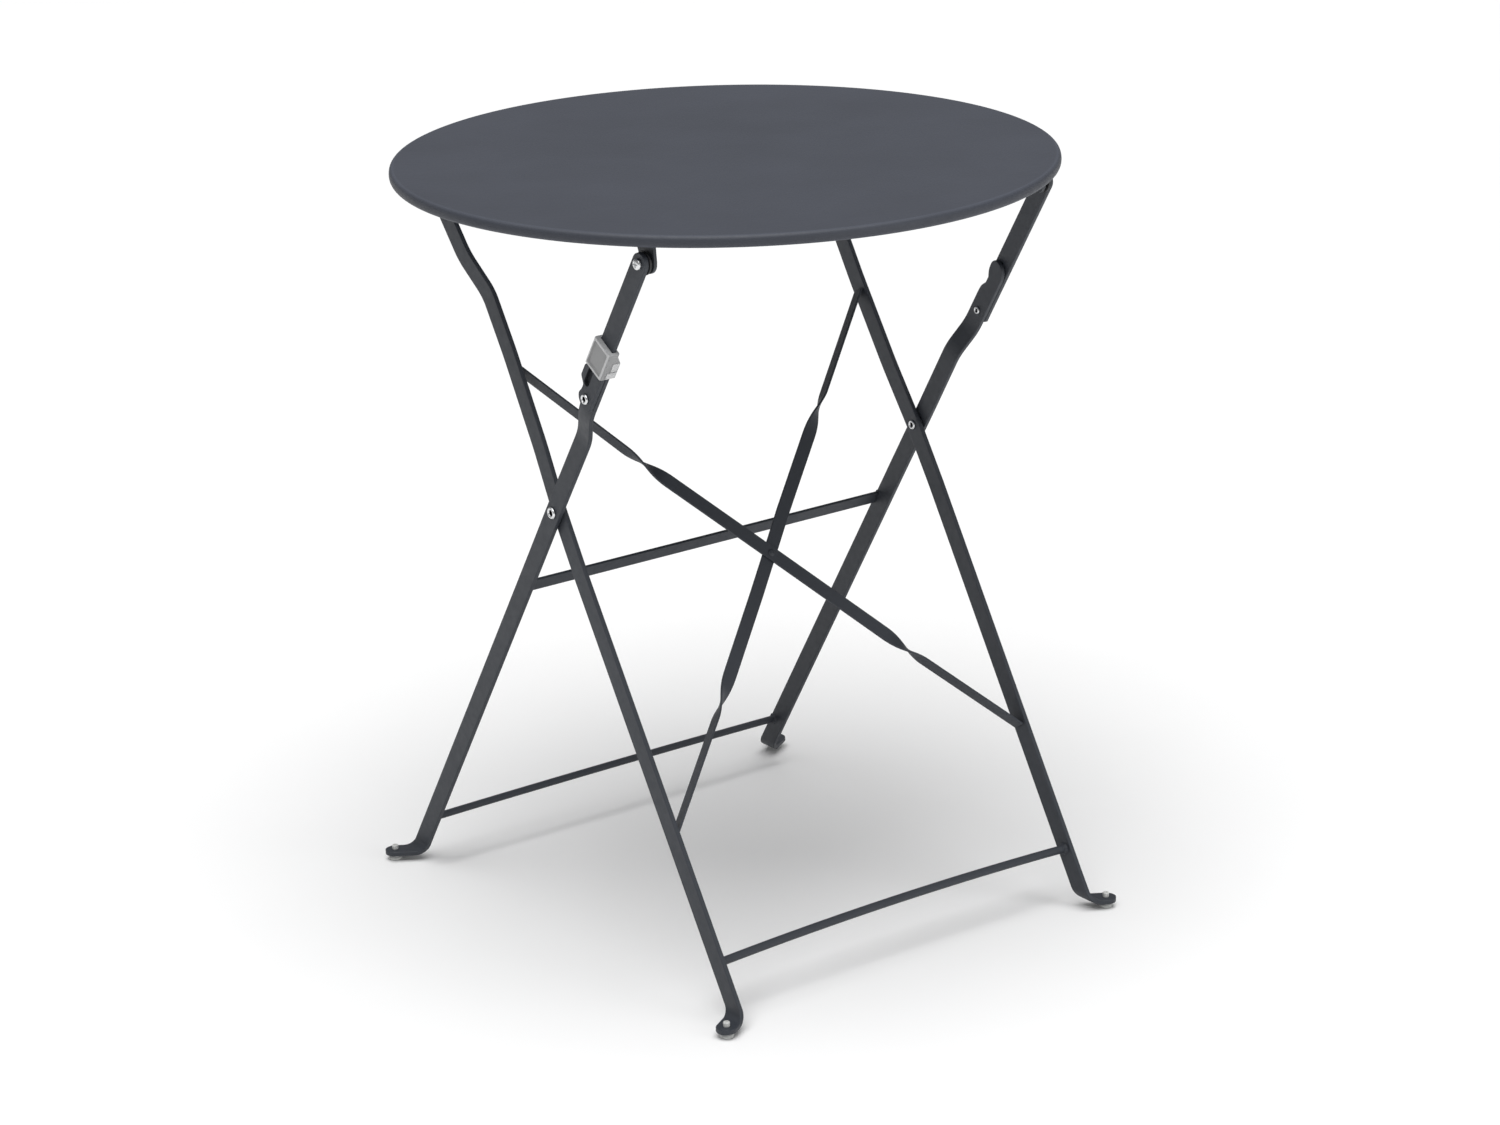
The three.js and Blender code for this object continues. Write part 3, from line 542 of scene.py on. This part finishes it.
# ---- links ----
def link(label, side):
    lobe = side < 0
    low = KNEE_ALONG - BAR_WIDTH / 2
    stations = end_run(KNEE_ALONG, -1) + end_run(FRONT_ALONG, 1)
    if lobe:
        stations += [152 + 0.8 * k for k in range(42)]
    rings = []
    for along in sorted(stations):
        f = min(round_end(along - KNEE_ALONG), round_end(FRONT_ALONG - along))
        square = min(1, 0.55 + (along - low) * 0.25) if along < KNEE_ALONG else 0
        bulge = 0
        if lobe:
            bulge = 6.7 * smoothstep(along, 156.5, 164) * (1 - smoothstep(along, 174, 184))
            bulge += 1.8 * (1 - smoothstep(along, 145, 153)) * round_end(along - KNEE_ALONG)
        plus, minus = f * BAR_WIDTH / 2 + bulge, max(f, square) * BAR_WIDTH / 2
        rings.append(bar_ring(OUTER.at(side * LINK_X, along), OUTER.across, Vector((side, 0, 0)), plus, minus,
                              BAR_THICK / 2, BAR_EDGE))
    made = piece(f"link_bar_{label}", skin(rings), SLOT_MATERIALS["frame_coating"])
    bored(made, across_x(side, 215, 228, KNEE), across_x(side, 215, 228, FRONT_PIVOT))
    if lobe:
        outline = []
        for end in (-1, 1):
            for k in range(13):
                a = end * math.pi / 2 + (k / 12 - 0.5) * math.pi
                outline.append(OUTER.at(0, 168.5 + end * 6 + 3.7 * math.sin(a), 6 + 3.7 * math.cos(a)))
        reach = (side * (LINK_X + BAR_THICK / 2 - 3.4), side * (LINK_X + 7))
        recess = skin([[Vector((x, p.y, p.z)) for p in outline] for x in reach])
        # the recess faces take the painted-shade coat from the cutter
        carved(made, piece("recess", recess, RECESS_PAINTED_SHADE))
    stands_for(made, f"link_{label}")


# ---- stretchers and braces ----
def rod_stretcher(name, node, line, half_length, radius, along, across, bow):
    centres = []
    for k in range(41):
        x = -half_length + 2 * half_length * k / 40
        centres.append(line.at(x, along + bow * (1 - (x / half_length) ** 2), across))
    made = piece(name, rod(centres, radius, line.across), SLOT_MATERIALS["frame_coating"])
    stands_for(made, node)


def flat_stretcher():
    half = OUTER_X - BAR_THICK / 2 - GAP
    rings = [bar_ring(OUTER.at(x, CROSS_BAR_ALONG, CROSS_BAR_ACROSS), OUTER.up, OUTER.across, 7, 7, 1.5, 0.7)
             for x in (-half, -half / 2, 0, half / 2, half)]
    stands_for(piece("cross_bar", skin(rings), SLOT_MATERIALS["frame_coating"]), "outer_stretcher_upper")


BRACE_CROSSING = (-3.2, -84.3)
# how far each brace dips below a straight line, as (distance from its top end, dip)
BRACE_DIPS = {-1: ((0, 4), (145, 11), (300, 8.5), (440, 7), (587, 0.5)),
              1: ((0, -0.5), (250, 0), (330, 3), (440, 4.5), (587, 3))}


def dip_at(corners, distance):
    """The dip at a distance, straight between corners."""
    for (d0, dip0), (d1, dip1) in zip(corners, corners[1:]):
        if distance < d1 or d1 == corners[-1][0]:
            return dip0 + (dip1 - dip0) * (distance - d0) / (d1 - d0)


def brace(label, side):
    top = Vector((side * BRACE_TOP_X, BRACE_TOP, 0))
    run = Vector((-side * BRACE_FOOT_X, BRACE_FOOT, 0)) - top
    length = run.length
    run.normalize()
    stations = [0.0, 60.0] + [TWIST_AT - TWIST_HALF + 2 * TWIST_HALF * k / 36 for k in range(37)]
    stations += [205.0, 250.0, length / 2]
    stations += [length - d for d in reversed(stations[:-1])]
    cross = Vector((1, 0, 0)) * -run.y + INNER.up * run.x
    rings = []
    for d in stations:
        flat = smoothstep(min(d, length - d), TWIST_AT - TWIST_HALF, TWIST_AT + TWIST_HALF)
        turn = (1 - flat) * math.pi / 2
        width = cross * math.cos(turn) + INNER.across * math.sin(turn)
        face = INNER.across * math.cos(turn) - cross * math.sin(turn)
        p = top + run * d
        centre = INNER.at(p.x, p.y - dip_at(BRACE_DIPS[side], d), side * flat * (BRACE_THICK / 2 + GAP / 2))
        rings.append(bar_ring(centre, width, face, BRACE_WIDTH / 2, BRACE_WIDTH / 2, BRACE_THICK / 2, 0.45))
    made = piece(f"brace_strip_{label}", skin(rings), SLOT_MATERIALS["frame_coating"])
    bored(made, (2.3, INNER.at(*BRACE_CROSSING, -12), INNER.at(*BRACE_CROSSING, 12)))
    stands_for(made, f"brace_{label}")


def brace_rivet():
    reach = BRACE_THICK + GAP / 2
    profile = [(0, -reach - 1.3), (1.2, -reach - 1.27), (2.2, -reach - 1.1), (3.0, -reach - 0.75),
               (3.4, -reach - GAP), (2, -reach - GAP), (2, reach + GAP), (3.4, reach + GAP),
               (3.0, reach + 0.75), (2.2, reach + 1.1), (1.2, reach + 1.27), (0, reach + 1.3)]
    made = piece("brace_stud", turned(profile, INNER.at(*BRACE_CROSSING), INNER.across, 40),
                 SLOT_MATERIALS["frame_coating"])
    stands_for(made, "brace_rivet")


# ---- rivets and bolts ----
def tubular(name, node, side, x0, x1, radius, shank, pivot, inner_radius):
    """A hollow rivet with a curled head at both ends and a bore painted dark as shade."""
    length = x1 - x0
    profile = [(0, 1.4), (inner_radius * 0.42, 1.4), (inner_radius * 0.5, -0.7), (inner_radius * 0.66, -1.5),
               (inner_radius * 0.86, -1.4), (inner_radius, -0.7), (inner_radius, 0), (shank, 0),
               (shank, length), (radius, length), (radius, length + 0.9), (radius * 0.86, length + 1.9),
               (radius * 0.66, length + 2.1), (radius * 0.5, length + 1.2), (radius * 0.42, 3.4), (0, 3.4)]
    bm = turned(rounded(profile, 0.3), (side * x0, pivot.y, pivot.z), (side, 0, 0))
    made = piece(name, bm, SLOT_MATERIALS["bright_zinc"], 50)
    made.data.materials.append(RIVET_BORE_PAINTED_SHADE)
    # painted shade: faces deep in each bore, near the axis, take the near-black bore material
    for face in made.data.polygons:
        centre = face.center * 1000
        away = math.hypot(centre.y - pivot.y, centre.z - pivot.z)
        depth = side * centre.x - x0
        if (depth < 1.5 and away < inner_radius * 0.46) or (3.3 < depth and away < radius * 0.46):
            face.material_index = 1
    stands_for(made, node)


def pan_bolt(label, side):
    """A domed bolt with a cross recess."""
    x0 = TAB_X - TAB_THICK / 2 - 5.2
    x1 = LINK_X + BAR_THICK / 2 + GAP
    length = x1 - x0
    profile = [(0, 0), (2.2, 0), (2.6, 0.5), (2.6, length), (5, length), (5, length + 1.5),
               (4.7, length + 2.2), (4.0, length + 2.7), (2.8, length + 3.1), (0, length + 3.2)]
    y, z = FRONT_PIVOT.y, FRONT_PIVOT.z
    made = piece(f"pan_bolt_{label}", turned(rounded(profile, 0.2), (side * x0, y, z), (side, 0, 0)),
                 SLOT_MATERIALS["bright_zinc"])
    near, far = sorted((side * (x1 + 1.8), side * (x1 + 6)))
    cutters = []
    for hy, hz in ((3.0, 0.7), (0.7, 3.0)):
        ring = [(-hy, -hz), (hy, -hz), (hy, hz), (-hy, hz)]
        rings = [[Vector((x, y + a, z + b)) for a, b in ring] for x in (near, far)]
        cutters.append(piece("slot", skin(rings), SLOT_MATERIALS["bright_zinc"]))
    carved(made, *cutters)
    stands_for(made, f"link_bolt_{label}")


def washer(name, node, side, x0, x1, radius, bore, pivot, slot):
    profile = [(bore, x0), (radius, x0), (radius, x1), (bore, x1), (bore, x0)]
    eased = rounded(profile, 0.25)
    bm = turned(eased, (0, pivot.y, pivot.z), (side, 0, 0))
    bmesh.ops.remove_doubles(bm, verts=bm.verts, dist=1e-4)
    stands_for(piece(name, bm, SLOT_MATERIALS[slot]), node)


# ---- safety lock ----
def prism(outline, c0, c1, ease):
    """A solid between two planes across the link, from [x, along] corners, with eased edges."""
    bm = skin([[OUTER.at(x, along, c) for x, along in outline] for c in (c0, c1)])
    bmesh.ops.bevel(bm, geom=bm.edges[:], offset=ease, segments=3, affect="EDGES", profile=0.5,
                    clamp_overlap=True)
    return bm


def oblong(x0, x1, a0, a1):
    return [(x0, a0), (x1, a0), (x1, a1), (x0, a1)]


def safety_lock():
    """A sleeve round the link with a shoulder over the leg's head, two latch tabs and a sunk panel."""
    a0, a1 = CLIP_START, CLIP_START + CLIP_LENGTH
    half, wall = BAR_WIDTH / 2 + 0.4, 12.8
    outer = -(LINK_X + BAR_THICK / 2 + 5)
    link_outer = -(LINK_X + BAR_THICK / 2 + GAP)
    link_inner = -(LINK_X - BAR_THICK / 2 - GAP)
    head_inner = -(HEAD_X - BAR_THICK / 2 - GAP)
    inner = head_inner + 1.6
    rings = []
    for along, inset in ((a0, 0.8), (a0 + 0.25, 0.25), (a0 + 0.8, 0),
                         (a1 - 0.8, 0), (a1 - 0.25, 0.25), (a1, 0.8)):
        x0, x1, c, r = outer + inset, link_inner + 2 - inset, wall - inset, 2.2 - inset
        ring = []
        for x, across, quarter in ((x1 - r, c - r, 0), (x0 + r, c - r, 1),
                                   (x0 + r, -c + r, 2), (x1 - r, -c + r, 3)):
            for k in range(9):
                turn = (quarter + k / 8) * math.pi / 2
                ring.append(OUTER.at(x + r * math.cos(turn), along, across + r * math.sin(turn)))
        rings.append(ring)
    body = SLOT_MATERIALS["lock_plastic"]
    made = piece("lock_sleeve", skin(rings), body)
    shoulder = [(link_inner, a0), (inner, a0), (inner, a0 + 17.5), (link_inner, a1 - 2)]
    latch_low = oblong(link_outer, inner - 1.6, a0 + 2, a0 + 9)
    latch_high = oblong(link_outer + 3, inner - 1.6, a0 + 9.4, a0 + 19)
    carved(made, piece("shoulder", prism(shoulder, -wall, 3, 0.7), body),
           piece("latch_low", prism(latch_low, -wall - 1.5, -wall + 1, 0.5), LOCK_LATCH),
           piece("latch_high", prism(latch_high, -wall - 0.9, -wall + 1, 0.4), LOCK_LATCH), operation="UNION")
    panel = []
    for x, ease in ((outer - 1, 1.4), (outer + 1.3, 0)):
        low, high, c = a0 + 3.2 - ease, a1 - 3.2 + ease, 9.4 + ease
        panel.append([OUTER.at(x, along, across) for along, across in
                      ((low, -c + 1), (low + 1, -c), (high - 1, -c), (high, -c + 1),
                       (high, c - 1), (high - 1, c), (low + 1, c), (low, c - 1))])
    link_way = oblong(link_outer, link_inner, a0 - 5, a1 + 5)
    head_way = oblong(link_inner - 1, head_inner, a0 - 5, HEAD_TOP + 0.8)
    carved(made, piece("link_way", prism(link_way, -half, half, 0.2), body),
           piece("head_way", prism(head_way, -half, 20, 0.2), body),
           piece("panel", skin(panel), LOCK_PANEL))
    # painted shade: body faces pointing along −across, towards −Y and down, take the darker plastic
    made.data.materials.append(LOCK_SHADED_SIDE)
    for face in made.data.polygons:
        if face.material_index == 0 and face.normal.dot(OUTER.across) < -0.7:
            face.material_index = len(made.data.materials) - 1
    stands_for(made, "safety_lock")


# ---- pressed and turned pieces that only need their edges eased ----
def eased(name, node, ease):
    """The CAD node's own shape with small rounds on its sharp edges."""
    bm = bmesh.new()
    bm.from_mesh(nodes[node].data)
    bmesh.ops.scale(bm, vec=(1000, 1000, 1000), verts=bm.verts)
    bmesh.ops.remove_doubles(bm, verts=bm.verts, dist=1e-3)
    bmesh.ops.dissolve_limit(bm, angle_limit=math.radians(1), verts=bm.verts[:], edges=bm.edges[:])
    sharp = [e for e in bm.edges if e.is_manifold and e.calc_face_angle() > math.radians(38)]
    bmesh.ops.bevel(bm, geom=sharp, offset=ease, segments=3, affect="EDGES", profile=0.5,
                    clamp_overlap=True)
    stands_for(piece(name, bm, SLOT_MATERIALS[NODE_SLOT[node]]), node)


# ---- weld beads ----
BEAD_SECTION = ((-0.3, 0), (1, 0), (0.85, 0.28), (0.5, 0.55), (0.22, 0.85), (0, 1), (-0.3, 1))


def bead(name, body, centre, axis, wide, half_wide, half_deep, reach, height, square=1.0):
    """An uneven fillet round the end of a bar: axis points away from the leg that it is welded to."""
    axis, wide = axis.normalized(), wide.normalized()
    deep = axis.cross(wide)
    rings = []
    steps = 44
    for k in range(steps + 1):
        a = 2 * math.pi * (k % steps) / steps
        c, d = math.cos(a), math.sin(a)
        u = math.copysign(abs(c) ** square, c)
        w = math.copysign(abs(d) ** square, d)
        swell = 1 + 0.14 * math.sin(9 * a + half_wide) + 0.08 * math.sin(5 * a + 1)
        out = (wide * c + deep * d).normalized()
        rim = centre + wide * (u * half_wide) + deep * (w * half_deep)
        rings.append([rim + out * (reach * f * (swell if f > 0 else 1)) + axis * (height * h * swell)
                      for f, h in BEAD_SECTION])
    bm = skin(rings, closed_ends=False)
    bmesh.ops.remove_doubles(bm, verts=bm.verts, dist=1e-4)
    extra(piece(name, bm, SLOT_MATERIALS["frame_coating"]), body)


def welds(label, side):
    inward = Vector((-side, 0, 0))
    inner_rod = INNER.at(side * (INNER_FOOT_X - BAR_THICK / 2 + 0.1), INNER_ROD_ALONG, 0)
    bead(f"weld_inner_rod_{label}", "inner_frame", inner_rod, inward, INNER.up,
         INNER_ROD_RADIUS, INNER_ROD_RADIUS, 2.1, 2.4)
    outer_rod = OUTER.at(side * (OUTER_FOOT_X - BAR_THICK / 2), OUTER_ROD_ALONG, OUTER_ROD_ACROSS)
    bead(f"weld_outer_rod_{label}", "outer_frame", outer_rod, inward, OUTER.up,
         OUTER_ROD_RADIUS, OUTER_ROD_RADIUS, 2.0, 2.2)
    # this bead keeps to the far face of the bar, clear of the inner leg when the table is folded
    cross_bar = OUTER.at(side * (OUTER_X - BAR_THICK / 2 + 0.3), CROSS_BAR_ALONG, 8.7)
    bead(f"weld_cross_bar_{label}", "outer_frame", cross_bar, inward, OUTER.up, 7, 0.6, 1.3, 1.2, 0.35)


table_top()
for label, side in (("left", -1), ("right", 1)):
    legs(label, side)
    link(label, side)
    brace(label, side)
    pan_bolt(label, side)
    tubular(f"crossing_tube_{label}", f"crossing_rivet_{label}", side, INNER_CROSS_X - BAR_THICK / 2 - GAP,
            OUTER_X + BAR_THICK / 2 + GAP, 5.5, PIN_RADIUS, CROSSING, 4.4)
    tubular(f"knee_tube_{label}", f"knee_rivet_{label}", side, HEAD_X - BAR_THICK / 2 - GAP,
            LINK_X + BAR_THICK / 2 + GAP, 4.8, PIN_RADIUS, KNEE, 3.5)
    washer(f"crossing_disc_{label}", f"crossing_washer_{label}", side, INNER_CROSS_X + BAR_THICK / 2 + GAP,
           OUTER_X - BAR_THICK / 2 - GAP, 8.5, 3.2, CROSSING, "dull_zinc")
    washer(f"spacer_disc_{label}", f"link_spacer_{label}", side, TAB_X + TAB_THICK / 2 + GAP,
           TAB_X + TAB_THICK / 2 + 2.6, 7, PIN_RADIUS, FRONT_PIVOT, "dull_zinc")
    washer(f"washer_disc_{label}", f"link_washer_{label}", side, TAB_X + TAB_THICK / 2 + 2.9,
           LINK_X - BAR_THICK / 2 - GAP, 10.5, PIN_RADIUS, FRONT_PIVOT, "black_nylon")
rod_stretcher("inner_rod", "inner_stretcher", INNER, INNER_FOOT_X - BAR_THICK / 2 - GAP,
              INNER_ROD_RADIUS, INNER_ROD_ALONG, 0, 4)
rod_stretcher("outer_rod", "outer_stretcher_lower", OUTER, OUTER_FOOT_X - BAR_THICK / 2 - GAP - 0.1,
              OUTER_ROD_RADIUS, OUTER_ROD_ALONG, OUTER_ROD_ACROSS, 2)
flat_stretcher()
brace_rivet()
safety_lock()
for label, side in (("left", -1), ("right", 1)):
    eased(f"rail_{label}", f"support_rail_{label}", 0.4)
    eased(f"nut_{label}", f"link_nut_{label}", 0.3)
    eased(f"pivot_stub_{label}", f"rear_pivot_stub_{label}", 0.25)
    eased(f"pivot_cap_{label}", f"rear_pivot_cap_{label}", 0.25)
    welds(label, side)


# ---- floor, light and camera ----
def floor():
    mesh = bpy.data.meshes.new("floor")
    reach = 14.0
    mesh.from_pydata([(-reach, -reach, 0), (reach, -reach, 0), (reach, reach, 0), (-reach, reach, 0)], [],
                     [(0, 1, 2, 3)])
    made = bpy.data.objects.new("floor", mesh)
    scene.collection.objects.link(made)
    g = Graph("floor_paper", (0.92, 0.92, 0.92), 0.9)
    g.shader.inputs["Specular IOR Level"].default_value = 0.1
    tone = g.tints(g.noise(3.0, 3.0), (0.915, 0.915, 0.915), (0.93, 0.93, 0.93))
    g.link(tone, g.shader.inputs["Base Color"])
    mesh.materials.append(g.material)


def softbox(name, place, target, size, power):
    data = bpy.data.lights.new(name, "AREA")
    data.shape = "RECTANGLE"
    data.size, data.size_y = size
    data.energy = power
    lamp = bpy.data.objects.new(name, data)
    scene.collection.objects.link(lamp)
    lamp.location = place
    lamp.rotation_euler = (Vector(target) - Vector(place)).to_track_quat("-Z", "Y").to_euler()


floor()
world = bpy.data.worlds.new("studio")
world.use_nodes = True
world.node_tree.nodes["Background"].inputs["Color"].default_value = (1, 1, 1, 1)
world.node_tree.nodes["Background"].inputs["Strength"].default_value = 0.24
scene.world = world
softbox("key", (-2.2, -1.6, 3.4), (0, 0, 0.3), (2.6, 2.6), 12)
softbox("fill", (1.2, -3.4, 1.1), (0.1, 0, 0.4), (2.2, 1.6), 22)
sky = bpy.data.lights.new("overhead", "SUN")
sky.energy = 2.75
sky.angle = math.radians(60)
overhead = bpy.data.objects.new("overhead", sky)
scene.collection.objects.link(overhead)
overhead.rotation_euler = Vector((0.14, 0.14, -1.0)).to_track_quat("-Z", "Y").to_euler()
scene.view_settings.view_transform = "Standard"
scene.view_settings.look = "None"

CAMERA_AT = (-2.056031, -2.815807, 1.502364)
AZIMUTH = math.radians(-36.362)
ELEVATION = math.radians(18.794)
ROLL = math.radians(-1.358)
back = Vector((math.sin(AZIMUTH) * math.cos(ELEVATION), -math.cos(AZIMUTH) * math.cos(ELEVATION),
               math.sin(ELEVATION)))
level = Vector((math.cos(AZIMUTH), math.sin(AZIMUTH), 0))
upward = back.cross(level)
right = level * math.cos(ROLL) + upward * math.sin(ROLL)
up = upward * math.cos(ROLL) - level * math.sin(ROLL)
lens = bpy.data.cameras.new("camera")
lens.sensor_width = 36.0
lens.lens = 95.591
lens.clip_start, lens.clip_end = 0.05, 100
camera = bpy.data.objects.new("camera", lens)
scene.collection.objects.link(camera)
camera.matrix_world = Matrix.Translation(CAMERA_AT) @ Matrix((right, up, back)).transposed().to_4x4()
scene.camera = camera

bpy.context.view_layer.update()
